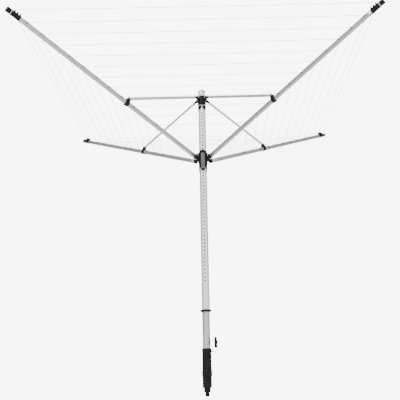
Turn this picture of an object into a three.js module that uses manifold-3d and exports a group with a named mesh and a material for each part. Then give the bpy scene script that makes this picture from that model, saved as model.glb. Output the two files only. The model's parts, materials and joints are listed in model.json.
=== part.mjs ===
// Rotary clothesline with four self-retracting arms, millimetres, +Z up.
// Origin: on the mast axis at ground level, where the mouth of the ground sleeve lies.
// The front, with the lock holes and the grip lever, faces -Y; the arms stand on the diagonals.
import * as THREE from 'three';
import { mergeVertices } from 'three/addons/utils/BufferGeometryUtils.js';
import Module from 'manifold-3d';

const wasm = await Module();
wasm.setup();

// ---------------------------------------------------------------- driving dimensions
const GAP = 0.3;                    // running or seating gap between neighbouring pieces
const PAST = 1;                     // how far a cutting shape runs past the surface it cuts
const WELD = 1;                     // how far shapes joined into one piece run into each other

const SLEEVE = {
  slip: 0.7,                        // of the foot tube in the bore
  wall: 4.2, mouthWall: 5.2, mouthHeight: 12, bulge: 2.6, bulgeTop: 122, bulgeLength: 30, slope: 3,
  depth: 216, stepRadius: 19.5, stepLength: 24, tipRadius: 12.5, tipFlat: 8.8, tipLength: 22,
  tipChamfer: 6, floor: 5, lugTop: 13, lugHeight: 9, lugReach: 8, lugCheek: 3, lugBack: 1.5,
};
const LID = {
  fit: 0.4,                         // over the mouth of the sleeve when shut
  skirt: 16, wall: 2.4, floor: 3.2, bevel: 3, lift: 2, knobRadius: 11, knobHeight: 3.4, knobBevel: 2,
  strapWidth: 12, strapThick: 2.4, strapTop: 18, barrel: 3.2, hingeReach: 5,
  stand: 25.6,                      // from the mouth to the middle of the open lid
};
const FOOT = { wall: 1.5, plugHead: 4, plugReach: 24, plugWall: 4, bevel: 2, overlap: 60 };
const MAST = {
  radius: 24, bottom: 213, top: 1656, wall: 1.2, slotWidth: 3.2, slotLength: 105,
  holeRadius: 5, holePitch: 23,
  topHole: 163, bottomHole: 25,     // first below the top, last above the slot
};
const END_RING = { reach: 11.5, height: 13, rim: 9, bevel: 3, edge: 2, under: 4, collarWall: 3.4 };
const CAP = { height: 11, overhang: 1.5, wall: 1.8, reach: 16 };

const ARM_AZIMUTHS = { front_left: 225, front_right: 315, back_right: 45, back_left: 135 };
const ARM = {
  elevation: 21.3,                  // degrees above level when open
  pivotReach: 32, pivotDrop: 468,   // from the mast's side and from its top
  drop: 14,                         // from the root pivot down to the centre of the tube
  start: 17, length: 1353,          // tube, along the arm from the pivot
  width: 18, height: 27, corner: 4, wall: 1.4,
};
const LINE = {
  count: 12, pitch: 97, radius: 1.3, gathered: 2,
  rise: 6,                          // of the outlets above the centre of the tube
  holeRadius: 3.7, reach: 7,        // how far a line reaches in past the tube's side
};
const ROOT = { earRadius: 11, earWidth: 15, play: 0.5, plug: 30, collarGrow: 1, collarStart: 14 };
const TIP = {
  length: 86, grow: 0.5, plug: 28, grooveAt: 57, groove: 5, grooveDepth: 3, neckCorner: 2,
  teeth: 3, toothWidth: 15, toothFoot: 8, toothHeight: 16, toothLean: 9, toothPitch: 17,
};
const CLAMP = {
  afterLine: 2, past: 48,           // place: so far beyond the third line
  rise: 18.3, length: 27, wall: 2.8, earRadius: 8.6, window: 3.4, corner: 3,
};
const STRUT = {
  width: 10, height: 18, wall: 1.3, flat: 0.2, play: 0.5, eyeRadius: 7.6,
  endLength: 28, plug: 22, blockStart: 12, tongue: 20, tongueThin: 0.4, press: 14,
};
// Heights of the top hub are measured down from the top of the mast.
const TOP_HUB = {
  pivotReach: 14, pivotDrop: 49, wall: 4.3, topDrop: 32, bottomDrop: 134, tail: 24,
  tailWall: 2.6, neckWall: 3.2, neckDrop: 94, flareDrop: 67, bevel: 4,
  cheekRadius: 10.5, cheek: 3.8, rib: 9, ribHeight: 52, ribDrop: 40, ribProud: 2.2,
};
const HUB_RING = { height: 6, wall: 3.2 };
// Heights of the sliding hub, its lever and its lock are measured up from the arms' root pivots.
const LOWER_HUB = {
  wall: 6.7, top: 20, arch: 22, archWall: 3.6, dipHalf: 22, bottom: -96, tail: 32,
  tailWall: 2.8, neckWall: 3.4, neckTop: -56, flareTop: -34, cheekRadius: 12.5, cheek: 4,
  housingHalf: 19, housingReach: 21, housingTop: 40, housingBottom: -56,
};
const TAILS = { notchHalf: 11, notchDepth: 8 };
const LEVER = {
  width: 23, thick: 7, top: 18, bottom: -88, proud: 3, sideRoom: 0.5, swingRoom: 2.5,
  pivotRise: 9, pivotInset: 7, boss: 5.4, pinRadius: 2.4, footCorner: 5, headCorner: 10,
  ribWidth: 2.5, ribRoom: 1.1, ribProud: 2,
};
const LOCK = {
  radius: 3.6, head: 6.4, headThick: 2.4, rise: -17, noseGap: 0.6, springWire: 0.9, springTurns: 3,
};
const PIN = { radius: 3.4, head: 5.6, headThick: 1.6 };
const PULLER = { radius: 3.4, drop: 6, start: 2, end: 24 };

// ---------------------------------------------------------------- sizes that follow from them
const footRadius = MAST.radius - MAST.wall - GAP;
const sleeveBore = footRadius + SLEEVE.slip;
const sleeveOuter = sleeveBore + SLEEVE.wall;
const sleeveMouth = sleeveBore + SLEEVE.mouthWall;
const slotTop = MAST.bottom + MAST.slotLength;
const hubBore = MAST.radius + GAP;
const hubRoot = hubBore + 2 * WELD;                       // where forks start inside a hub's wall
const armPivot = { radius: MAST.radius + ARM.pivotReach, height: MAST.top - ARM.pivotDrop };
const topPivot = { radius: MAST.radius + TOP_HUB.pivotReach, height: MAST.top - TOP_HUB.pivotDrop };
const topHubTop = MAST.top - TOP_HUB.topDrop;
const rootFork = ROOT.earWidth + 2 * ROOT.play;
const strutFork = STRUT.width + 2 * STRUT.play;
const leverAxis = armPivot.height + LEVER.pivotRise;
const lockAxis = armPivot.height + LOCK.rise;
const tubeEnd = ARM.start + ARM.length;
const groove = tubeEnd + TIP.grooveAt;
const lineAlong = (level) => groove - LINE.pitch * (LINE.count - 1 - level);
const clampAlong = lineAlong(CLAMP.afterLine) + CLAMP.past;

// ---------------------------------------------------------------- materials
const paint = (color, roughness, metalness) => () =>
  new THREE.MeshStandardMaterial({ color, roughness, metalness });
const satinAluminium = paint(0xc9cbcd, 0.38, 0.85);
const paleAluminium = paint(0xe2e3e4, 0.42, 0.8);
const blackPlastic = paint(0x1b1c1e, 0.5, 0);
const greyPlastic = paint(0x4b4d50, 0.5, 0);
const palePlastic = paint(0xd9dad8, 0.5, 0);
const steel = paint(0xb4b6b8, 0.3, 0.9);
const springSteel = paint(0x8d9093, 0.35, 0.9);
const lineCord = paint(0xdcdcda, 0.55, 0);

// ---------------------------------------------------------------- solids
const radians = THREE.MathUtils.degToRad;

// A closed three.js geometry as a manifold-3d solid.
function solid(geometry) {
  const bare = geometry.index ? geometry.toNonIndexed() : geometry.clone();
  bare.deleteAttribute('normal');
  bare.deleteAttribute('uv');
  const merged = mergeVertices(bare, 1e-4);
  const vertProperties = new Float32Array(merged.attributes.position.array);
  const triVerts = new Uint32Array(merged.index.array);
  return new wasm.Manifold(new wasm.Mesh({ numProp: 3, vertProperties, triVerts }));
}

// A solid back as a three.js geometry.
function geometryOf(body) {
  const data = body.getMesh();
  const geometry = new THREE.BufferGeometry();
  geometry.setAttribute('position', new THREE.BufferAttribute(new Float32Array(data.vertProperties), 3));
  geometry.setIndex(new THREE.BufferAttribute(new Uint32Array(data.triVerts), 1));
  geometry.computeVertexNormals();
  return geometry;
}

const join = (...bodies) => bodies.reduce((sum, body) => sum.add(body));
const cut = (body, ...tools) => tools.reduce((left, tool) => left.subtract(tool), body);

function named(name, body, material) {
  const mesh = new THREE.Mesh(body.isBufferGeometry ? body : geometryOf(body), material());
  mesh.name = name;
  return mesh;
}

// Box given by its lowest and highest corners.
function box(low, high) {
  const size = high.map((value, i) => value - low[i]);
  const geometry = new THREE.BoxGeometry(...size);
  geometry.translate(...high.map((value, i) => (value + low[i]) / 2));
  return solid(geometry);
}

// Round bar from one point to another.
function bar(from, to, radius, sides = 8) {
  const start = new THREE.Vector3(...from);
  const end = new THREE.Vector3(...to);
  const geometry = new THREE.CylinderGeometry(radius, radius, start.distanceTo(end), sides);
  const turn = new THREE.Quaternion().setFromUnitVectors(
    new THREE.Vector3(0, 1, 0), end.clone().sub(start).normalize());
  geometry.applyQuaternion(turn);
  geometry.translate(...start.add(end).multiplyScalar(0.5).toArray());
  return solid(geometry);
}

// Cutting bar for a round hole: its flats, not its corners, lie at the radius.
function drill(from, to, radius, sides = 8) {
  return bar(from, to, radius / Math.cos(Math.PI / sides), sides);
}

// Turned piece about Z from an outline of [radius, height] points that starts and ends on the axis
// or closes on itself.
function turned(outline, sides = 24) {
  const geometry = new THREE.LatheGeometry(outline.map(([r, z]) => new THREE.Vector2(r, z)), sides);
  geometry.rotateX(Math.PI / 2);
  return solid(geometry);
}

// Pipe about Z.
function pipe(inner, outer, bottom, top, sides = 24) {
  return turned([[inner, bottom], [outer, bottom], [outer, top], [inner, top], [inner, bottom]], sides);
}

// Rectangle with rounded corners, centred on the origin of its plane.
function roundedOutline(width, height, corner) {
  const shape = new THREE.Shape();
  const x = width / 2 - corner;
  const y = height / 2 - corner;
  shape.absarc(x, y, corner, 0, Math.PI / 2);
  shape.absarc(-x, y, corner, Math.PI / 2, Math.PI);
  shape.absarc(-x, -y, corner, Math.PI, 1.5 * Math.PI);
  shape.absarc(x, -y, corner, 1.5 * Math.PI, 2 * Math.PI);
  shape.closePath();
  return shape;
}

// Bar of a rounded section, width along Y and height along Z, running along X.
function sectionBar(width, height, corner, from, to, z = 0) {
  const geometry = new THREE.ExtrudeGeometry(roundedOutline(width, height, corner), {
    depth: to - from, bevelEnabled: false, curveSegments: 2,
  });
  geometry.rotateX(Math.PI / 2);
  geometry.rotateZ(Math.PI / 2);
  geometry.translate(from, 0, z);
  return solid(geometry);
}

// Plate of an outline drawn in X and Z, from one side of Y to the other.
function plate(shape, fromY, toY, curveSegments = 4) {
  const depth = toY - fromY;
  const geometry = new THREE.ExtrudeGeometry(shape, { depth, bevelEnabled: false, curveSegments });
  geometry.rotateX(Math.PI / 2);
  geometry.translate(0, toY, 0);
  return solid(geometry);
}

// Pin along Y with a head at each end, turned about the origin and moved to [x, z].
function headedPin(x, z, halfGrip, spec = PIN) {
  const headEnd = halfGrip + spec.headThick;
  const geometry = new THREE.LatheGeometry([
    [0, -headEnd], [spec.head * 0.8, -headEnd], [spec.head, -halfGrip - GAP], [spec.radius, -halfGrip - GAP],
    [spec.radius, halfGrip + GAP], [spec.head, halfGrip + GAP], [spec.head * 0.8, headEnd], [0, headEnd],
  ].map(([r, y]) => new THREE.Vector2(r, y)), 8);
  geometry.translate(x, 0, z);
  return solid(geometry);
}

// ---------------------------------------------------------------- ground sleeve and its lid
function groundSleeve() {
  const s = SLEEVE;
  const base = -s.depth;
  const step = base - s.stepLength;
  const tip = step - s.tipLength;
  const bulge = sleeveOuter + s.bulge;
  const bulgeBottom = -s.bulgeTop - s.bulgeLength;
  const body = turned([
    [0, tip], [s.tipFlat, tip], [s.tipRadius, tip + s.tipChamfer], [s.tipRadius, step], [s.stepRadius, step],
    [s.stepRadius, base], [sleeveOuter, base], [sleeveOuter, bulgeBottom - s.slope], [bulge, bulgeBottom],
    [bulge, -s.bulgeTop], [sleeveOuter, s.slope - s.bulgeTop], [sleeveOuter, -s.mouthHeight - 2],
    [sleeveMouth, -s.mouthHeight], [sleeveMouth, 0], [sleeveBore, 0], [sleeveBore, base + s.floor],
    [0, base + s.floor],
  ]);
  const slotHalf = LID.strapWidth / 2 + GAP;
  const cheek = slotHalf + s.lugCheek;
  const lugEnd = sleeveOuter + s.lugReach;
  const lugBottom = -s.lugTop - s.lugHeight;
  const lug = box([sleeveOuter - WELD, -cheek, lugBottom], [lugEnd, cheek, -s.lugTop]);
  const slot = box([sleeveOuter + s.lugBack, -slotHalf, lugBottom - PAST],
    [lugEnd + PAST, slotHalf, PAST - s.lugTop]);
  return named('ground_sleeve', cut(join(body, lug), slot), blackPlastic);
}

// The lid stands open beside the mouth, on edge, its strap hinged at the lug below the mouth.
const lidPivot = [sleeveOuter + LID.hingeReach, -SLEEVE.lugTop - SLEEVE.lugHeight / 2];

function lidParts() {
  const l = LID;
  const inner = sleeveMouth + l.fit;
  const radius = inner + l.wall;
  const offset = sleeveMouth + l.stand;
  const cup = turned([
    [0, 0], [radius - l.bevel, 0], [radius, l.bevel], [radius, l.skirt], [inner, l.skirt],
    [inner, l.floor], [0, l.floor],
  ]);
  const knob = turned([
    [0, -l.knobHeight], [l.knobRadius - l.knobBevel, -l.knobHeight],
    [l.knobRadius, l.knobBevel - l.knobHeight], [l.knobRadius, WELD], [0, WELD],
  ]);
  const lid = new THREE.Group();
  const lidMesh = named('sleeve_lid', join(cup, knob), blackPlastic);
  lidMesh.rotation.y = -Math.PI / 2;
  lidMesh.position.set(offset + l.skirt / 2, 0, radius + l.lift);
  lid.add(lidMesh);

  const half = l.strapWidth / 2;
  const [x, z] = lidPivot;
  const barrel = bar([x, -half, z], [x, half, z], l.barrel, 12);
  const back = offset + l.skirt / 2 + GAP;
  const front = back + l.strapThick;
  const strap = new THREE.Shape();
  strap.moveTo(x - 1, z - 1);
  strap.lineTo(x + 2, z - 1.5);
  strap.quadraticCurveTo(front, z + 3.5, front, l.strapThick + 2);
  strap.lineTo(front, l.strapTop);
  strap.lineTo(back, l.strapTop);
  strap.lineTo(back, l.strapThick + 2);
  strap.quadraticCurveTo(back, z + 6.5, x + 1, z + 1.5);
  strap.closePath();
  lid.add(named('lid_strap', join(barrel, plate(strap, -half, half)), palePlastic));
  return lid;
}

// ---------------------------------------------------------------- mast
function footParts() {
  const f = FOOT;
  const inner = footRadius - f.wall;
  const base = SLEEVE.floor - SLEEVE.depth + GAP;
  const bottom = base + f.plugHead;
  const tube = pipe(inner, footRadius, bottom, slotTop + f.overlap);
  const seat = inner - GAP;
  const hollow = inner - f.plugWall;
  const plug = turned([
    [0, base], [footRadius - f.bevel, base], [footRadius, base + f.bevel], [footRadius, bottom - GAP],
    [seat, bottom - GAP], [seat, bottom + f.plugReach], [hollow, bottom + f.plugReach],
    [hollow, bottom + f.bevel], [0, bottom + f.bevel],
  ]);
  return [named('foot_tube', tube, satinAluminium), named('foot_plug', plug, blackPlastic)];
}

// Outer mast tube with its row of lock holes down the front and the clamping slot at its lower end.
function mastTube() {
  const m = MAST;
  const tube = pipe(m.radius - m.wall, m.radius, m.bottom, m.top);
  const holes = [];
  const first = m.top - m.topHole;
  const count = Math.floor((first - slotTop - m.bottomHole) / m.holePitch) + 1;
  for (let i = 0; i < count; i += 1) {
    const z = first - i * m.holePitch;
    holes.push(bar([0, -m.radius - PAST, z], [0, -m.radius / 2, z], m.holeRadius, 8));
  }
  const half = m.slotWidth / 2;
  const slot = box([-half, -m.radius - PAST, m.bottom - PAST], [half, -m.radius / 2, slotTop]);
  return named('mast_tube', cut(tube, slot, ...holes), paleAluminium);
}

// Ring that closes the lower end of the mast tube round the foot tube.
function mastEndRing() {
  const r = END_RING;
  const radius = MAST.radius + r.reach;
  const bore = footRadius + GAP;
  const low = MAST.bottom - r.under;
  return named('mast_end_ring', turned([
    [bore, low], [radius - r.bevel, low], [radius, low + r.edge], [radius, low + r.rim - r.edge],
    [radius - r.bevel, low + r.rim], [hubBore + r.collarWall, low + r.height], [hubBore, low + r.height],
    [hubBore, MAST.bottom - GAP], [bore, MAST.bottom - GAP], [bore, low],
  ]), blackPlastic);
}

function mastCap() {
  const c = CAP;
  const { radius, top } = MAST;
  const plug = radius - MAST.wall - GAP;
  const rim = radius + c.overhang;
  return named('mast_cap', turned([
    [0, top + c.wall], [plug - c.wall, top + c.wall], [plug - c.wall, top - c.reach], [plug, top - c.reach],
    [plug, top + GAP], [rim, top + GAP], [rim, top + c.height * 0.35], [radius + 0.4, top + c.height * 0.62],
    [radius * 0.6, top + c.height - 1], [0, top + c.height],
  ]), greyPlastic);
}

// Two cheeks of a fork that stands out along +X from the mast axis, pin hole included.
function forkCheeks(pivot, radius, thickness, opening) {
  const side = new THREE.Shape();
  side.moveTo(hubRoot, pivot.height - radius * 1.5);
  side.lineTo(pivot.radius - radius * 0.2, pivot.height - radius);
  side.absarc(pivot.radius, pivot.height, radius, -Math.PI / 2, Math.PI / 2);
  side.lineTo(hubRoot, pivot.height + radius * 1.1);
  side.closePath();
  const inner = opening / 2;
  const outer = inner + thickness;
  const reach = outer + PAST;
  const hole = drill([pivot.radius, -reach, pivot.height], [pivot.radius, reach, pivot.height],
    PIN.radius + GAP);
  return cut(join(plate(side, -outer, -inner), plate(side, inner, outer)), hole);
}

const turnedAbout = (body, degrees) => body.rotate([0, 0, degrees]);

// Long V notches that leave tails on the lower edge of a collar.
function tailNotches(outer, bottom, tail, azimuths) {
  return azimuths.map((azimuth) => {
    const shape = new THREE.Shape();
    shape.moveTo(-TAILS.notchHalf, bottom - PAST);
    shape.lineTo(TAILS.notchHalf, bottom - PAST);
    shape.lineTo(0, bottom + tail);
    shape.closePath();
    return turnedAbout(plate(shape, -outer - PAST, TAILS.notchDepth - MAST.radius), azimuth);
  });
}

// Collar fixed near the top of the mast, with one fork for each strut.
function topHub() {
  const t = TOP_HUB;
  const outer = hubBore + t.wall;
  const bottom = MAST.top - t.bottomDrop;
  let hub = turned([
    [hubBore, bottom], [hubBore + t.tailWall, bottom], [hubBore + t.neckWall, MAST.top - t.neckDrop],
    [outer, MAST.top - t.flareDrop], [outer, topHubTop - t.bevel], [outer - t.bevel / 2, topHubTop],
    [hubBore, topHubTop], [hubBore, bottom],
  ]);
  hub = cut(hub, ...tailNotches(outer, bottom, t.tail, [0, 90, 180, 270]));
  for (const azimuth of Object.values(ARM_AZIMUTHS)) {
    hub = join(hub, turnedAbout(forkCheeks(topPivot, t.cheekRadius, t.cheek, strutFork), azimuth));
  }
  const ribTop = MAST.top - t.ribDrop;
  for (const azimuth of [0, 180]) {
    const rib = box([-t.rib / 2, -outer - t.ribProud, ribTop - t.ribHeight],
      [t.rib / 2, -hubBore - WELD, ribTop]);
    hub = join(hub, turnedAbout(rib, azimuth));
  }
  return named('top_hub', hub, blackPlastic);
}

function hubRing() {
  const low = topHubTop + GAP;
  const ring = pipe(hubBore, hubBore + HUB_RING.wall, low, low + HUB_RING.height);
  return named('hub_stop_ring', ring, palePlastic);
}

// ---------------------------------------------------------------- sliding hub with its lock
const housingFace = -MAST.radius - LOWER_HUB.housingReach;
const lowerHubOuter = hubBore + LOWER_HUB.wall;
const wellBack = -lowerHubOuter - GAP;

// Round bar, or the hole for one, on the lever's pivot axis.
function leverAxle(reach, radius, shape = bar) {
  const y = housingFace + LEVER.pivotInset;
  return shape([-reach, y, leverAxis], [reach, y, leverAxis], radius, 12);
}

function lowerHub() {
  const h = LOWER_HUB;
  const pivot = armPivot.height;
  const foot = pivot + h.bottom;
  const top = pivot + h.top;
  const crown = top + h.arch;
  let hub = turned([
    [hubBore, foot], [hubBore + h.tailWall, foot], [hubBore + h.neckWall, pivot + h.neckTop],
    [lowerHubOuter, pivot + h.flareTop], [lowerHubOuter, top], [hubBore + h.archWall, crown],
    [hubBore, crown], [hubBore, foot],
  ]);
  // The upper edge stays high at the front and the back and dips at the sides.
  const dips = [90, 270].map((azimuth) => {
    const shape = new THREE.Shape();
    shape.moveTo(-h.dipHalf, crown + PAST);
    shape.quadraticCurveTo(0, top - h.arch, h.dipHalf, crown + PAST);
    shape.closePath();
    return turnedAbout(plate(shape, -lowerHubOuter - PAST, -hubBore / 2), azimuth);
  });
  const tails = tailNotches(lowerHubOuter, foot, h.tail, Object.values(ARM_AZIMUTHS));
  hub = cut(hub, ...dips, ...tails);
  for (const azimuth of Object.values(ARM_AZIMUTHS)) {
    hub = join(hub, turnedAbout(forkCheeks(armPivot, h.cheekRadius, h.cheek, rootFork), azimuth));
  }
  const half = h.housingHalf;
  const housingTop = pivot + h.housingTop;
  const housingBottom = pivot + h.housingBottom;
  const shoulder = housingTop - 1.5 * half;
  const housing = new THREE.Shape();
  housing.moveTo(-half, housingBottom);
  housing.lineTo(half, housingBottom);
  housing.lineTo(half, shoulder);
  housing.quadraticCurveTo(half * 0.8, housingTop, 0, housingTop);
  housing.quadraticCurveTo(-half * 0.8, housingTop, -half, shoulder);
  housing.closePath();
  hub = join(hub, plate(housing, housingFace, -hubBore - WELD, 6));
  const wellHalf = LEVER.width / 2 + LEVER.sideRoom;
  const wellTop = pivot + LEVER.top + LEVER.swingRoom;
  const well = box([-wellHalf, housingFace - PAST, housingBottom - PAST], [wellHalf, wellBack, wellTop]);
  const lockBore = drill([0, housingFace, lockAxis], [0, PAST - hubBore, lockAxis], LOCK.radius + GAP, 12);
  hub = cut(hub, well, leverAxle(half + PAST, LEVER.pinRadius + GAP, drill), lockBore);
  // Clears the mast bore again where forks and housing reach it.
  const low = foot - PAST;
  const high = crown + PAST;
  hub = cut(hub, turned([[0, low], [hubBore, low], [hubBore, high], [0, high]]));
  return named('lower_hub', hub, blackPlastic);
}

// Grip lever, hinged at its head; its back pulls the lock pin.
const leverBack = housingFace - LEVER.proud + LEVER.thick;

function gripLever() {
  const v = LEVER;
  const half = v.width / 2;
  const low = armPivot.height + v.bottom;
  const top = armPivot.height + v.top;
  const foot = v.footCorner;
  const head = v.headCorner;
  const face = new THREE.Shape();
  face.moveTo(-half + foot, low);
  face.lineTo(half - foot, low);
  face.quadraticCurveTo(half, low, half, low + foot);
  face.lineTo(half, top - head);
  face.quadraticCurveTo(half, top, half - head, top);
  face.lineTo(-half + head, top);
  face.quadraticCurveTo(-half, top, -half, top - head);
  face.lineTo(-half, low + foot);
  face.quadraticCurveTo(-half, low, -half + foot, low);
  const back = leverBack;
  const rib = LOCK.head + v.ribRoom;
  const ribs = [-rib - v.ribWidth, rib].map((x) =>
    box([x, back - WELD, low + 2 * foot], [x + v.ribWidth, back + v.ribProud, leverAxis]));
  const lever = join(plate(face, back - v.thick, back, 6), leverAxle(half, v.boss), ...ribs);
  return named('grip_lever', cut(lever, leverAxle(half + PAST, v.pinRadius + GAP, drill)), greyPlastic);
}

function leverPin() {
  return named('lever_pin', leverAxle(LOWER_HUB.housingHalf - 1, LEVER.pinRadius), steel);
}

// Lock pin behind the lever, nose just clear of the mast, with its return spring round it.
const lockBack = leverBack + 2 * GAP;

function lockParts() {
  const z = lockAxis;
  const nose = -MAST.radius - LOCK.noseGap;
  const headFront = lockBack + LOCK.headThick;
  const pin = join(bar([0, lockBack, z], [0, nose, z], LOCK.radius, 12),
    bar([0, lockBack, z], [0, headFront, z], LOCK.head, 12));
  return named('lock_pin', pin, steel);
}

// Open helix round the lock pin between its head and the hub.
class Helix extends THREE.Curve {
  constructor(radius, from, to, turns) {
    super();
    Object.assign(this, { radius, from, to, turns });
  }

  getPoint(t, target = new THREE.Vector3()) {
    const angle = 2 * Math.PI * this.turns * t;
    const y = this.from + (this.to - this.from) * t;
    return target.set(this.radius * Math.cos(angle), y, lockAxis + this.radius * Math.sin(angle));
  }
}

function lockSpring() {
  const wire = LOCK.springWire;
  const section = new THREE.Shape();
  section.absarc(0, 0, wire / 2, 0, 2 * Math.PI);
  const from = lockBack + LOCK.headThick + GAP + wire;
  const to = wellBack - GAP - wire;
  const helix = new Helix(LOCK.radius + GAP + wire, from, to, LOCK.springTurns);
  const geometry = new THREE.ExtrudeGeometry(section, {
    steps: 11 * LOCK.springTurns, extrudePath: helix, bevelEnabled: false, curveSegments: 3,
  });
  return named('lock_spring', solid(geometry), springSteel);
}

// ---------------------------------------------------------------- arms
// Each arm is drawn along +X from its root pivot, then tilted up and turned to its azimuth.
const tubeCentre = -ARM.drop;
const lineHeight = tubeCentre + LINE.rise;

function armTube() {
  const a = ARM;
  const skin = sectionBar(a.width, a.height, a.corner, a.start, tubeEnd, tubeCentre);
  const hollow = sectionBar(a.width - 2 * a.wall, a.height - 2 * a.wall, a.corner - a.wall,
    a.start - PAST, tubeEnd + PAST, tubeCentre);
  const outlets = [];
  for (let level = 0; level < LINE.count - 1; level += 1) {
    outlets.push(bar([lineAlong(level), -a.width, lineHeight], [lineAlong(level), a.width, lineHeight],
      LINE.holeRadius, 6));
  }
  return cut(skin, hollow, ...outlets);
}

const plugWidth = ARM.width - 2 * ARM.wall - 2 * GAP;
const plugHeight = ARM.height - 2 * ARM.wall - 2 * GAP;
const plugCorner = ARM.corner - ARM.wall - GAP;

// Root fitting: an eye on the pivot, a collar under the tube's end and a plug inside it.
function armRoot() {
  const a = ARM;
  const r = ROOT;
  const under = tubeCentre - a.height / 2;
  const eye = new THREE.Shape();
  eye.absarc(0, 0, r.earRadius, Math.PI * 0.12, Math.PI * 1.02);
  eye.lineTo(-2, under + 5);
  eye.lineTo(4, under);
  eye.lineTo(r.collarStart + WELD, under);
  eye.lineTo(r.collarStart + WELD, under + a.height);
  eye.closePath();
  const grow = r.collarGrow;
  const collar = sectionBar(a.width + 2 * grow, a.height + 2 * grow, a.corner + grow,
    r.collarStart, a.start - GAP, tubeCentre);
  const plug = sectionBar(plugWidth, plugHeight, plugCorner, r.collarStart, a.start + r.plug, tubeCentre);
  const body = join(plate(eye, -r.earWidth / 2, r.earWidth / 2, 10), collar, plug);
  return cut(body, drill([0, -r.earWidth, 0], [0, r.earWidth, 0], PIN.radius + GAP));
}

// End cap with upward hooks for clothes hangers and a groove that ties the outermost line.
function endCap() {
  const a = ARM;
  const t = TIP;
  const width = a.width + 2 * t.grow;
  const height = a.height + 2 * t.grow;
  const start = tubeEnd + GAP;
  const neckWidth = width - 2 * t.grooveDepth;
  const neckHeight = height - 2 * t.grooveDepth;
  const inboard = sectionBar(width, height, a.corner, start, groove - t.groove / 2, tubeCentre);
  const neck = sectionBar(neckWidth, neckHeight, t.neckCorner, start, groove + t.groove, tubeCentre);
  const outboard = sectionBar(width, height, a.corner, groove + t.groove / 2, tubeEnd + t.length, tubeCentre);
  const plug = sectionBar(plugWidth, plugHeight, plugCorner, tubeEnd - t.plug, start + WELD, tubeCentre);
  const teeth = [];
  const foot = tubeCentre + height / 2 - WELD;
  const peak = tubeCentre + height / 2 + t.toothHeight;
  for (let i = 0; i < t.teeth; i += 1) {
    const x = start + WELD + i * t.toothPitch;
    const tooth = new THREE.Shape();
    tooth.moveTo(x, foot);
    tooth.lineTo(x + t.toothFoot, foot);
    tooth.quadraticCurveTo(x + t.toothFoot, (foot + peak) / 2, x + t.toothLean + 1, peak - 1);
    tooth.lineTo(x + t.toothLean - 1, peak);
    tooth.quadraticCurveTo(x + t.toothFoot / 2, (foot + peak) / 2, x, foot);
    teeth.push(plate(tooth, -t.toothWidth / 2, t.toothWidth / 2, 2));
  }
  return join(inboard, neck, outboard, plug, ...teeth);
}

// Clamp round the tube with two ears that carry the strut.
function strutClamp() {
  const a = ARM;
  const c = CLAMP;
  const middle = clampAlong;
  const half = c.length / 2;
  const width = a.width + 2 * c.wall;
  const low = tubeCentre - a.height / 2 - c.wall;
  const top = tubeCentre + a.height / 2 + c.wall;
  const side = new THREE.Shape();
  side.moveTo(middle - half + c.corner, low);
  side.lineTo(middle + half - c.corner, low);
  side.quadraticCurveTo(middle + half, low, middle + half, low + c.corner);
  side.lineTo(middle + half, top - 2);
  side.lineTo(middle + c.earRadius, c.rise);
  side.absarc(middle, c.rise, c.earRadius, 0, Math.PI);
  side.lineTo(middle - half, top - 2);
  side.lineTo(middle - half, low + c.corner);
  side.quadraticCurveTo(middle - half, low, middle - half + c.corner, low);
  const body = plate(side, -width / 2, width / 2, 4);
  const seat = sectionBar(a.width + 2 * GAP, a.height + 2 * GAP, a.corner + GAP,
    middle - half - PAST, middle + half + PAST, tubeCentre);
  const fork = box([middle - half - PAST, -strutFork / 2, top],
    [middle + half + PAST, strutFork / 2, c.rise + c.earRadius + PAST]);
  const windowHeight = (top + c.rise - PIN.radius) / 2;
  const window = bar([middle, -width, windowHeight], [middle, width, windowHeight], c.window, 8);
  const axle = drill([middle, -width, c.rise], [middle, width, c.rise], PIN.radius + GAP);
  return cut(body, seat, fork, window, axle);
}

// Long spring that pulls the lines in, shown by its outer cylinder.
function linePuller() {
  const height = tubeCentre - PULLER.drop;
  const from = ARM.start + ROOT.plug + PULLER.start;
  return bar([from, 0, height], [tubeEnd - TIP.plug - PULLER.end, 0, height], PULLER.radius, 8);
}

// ---------------------------------------------------------------- struts
// A strut runs from the clamp's pivot up to the top hub's pivot.
const elevation = radians(ARM.elevation);
const clampRadius = armPivot.radius + clampAlong * Math.cos(elevation) - CLAMP.rise * Math.sin(elevation);
const clampHeight = armPivot.height + clampAlong * Math.sin(elevation) + CLAMP.rise * Math.cos(elevation);
const strutRun = clampRadius - topPivot.radius;
const strutFall = topPivot.height - clampHeight;
const strutLength = Math.hypot(strutRun, strutFall);
const strutSlope = Math.atan2(strutFall, strutRun);

// Drawn along +X from the top hub's pivot.
function strutTube() {
  const s = STRUT;
  const corner = s.width / 2 - s.flat;
  const from = s.endLength;
  const eye = new THREE.Shape();
  eye.absarc(strutLength, 0, s.eyeRadius, -Math.PI / 2, Math.PI / 2);
  eye.lineTo(strutLength - s.tongue, s.eyeRadius);
  eye.lineTo(strutLength - s.tongue, -s.eyeRadius);
  eye.closePath();
  const skin = sectionBar(s.width, s.height, corner, from, strutLength - s.press);
  const hollow = sectionBar(s.width - 2 * s.wall, s.height - 2 * s.wall, corner - s.wall,
    from - PAST, strutLength - s.tongue);
  const tongue = plate(eye, s.tongueThin - s.width / 2, s.width / 2 - s.tongueThin);
  const hole = drill([strutLength, -s.width, 0], [strutLength, s.width, 0], PIN.radius + GAP);
  return cut(join(cut(skin, hollow), tongue), hole);
}

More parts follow.
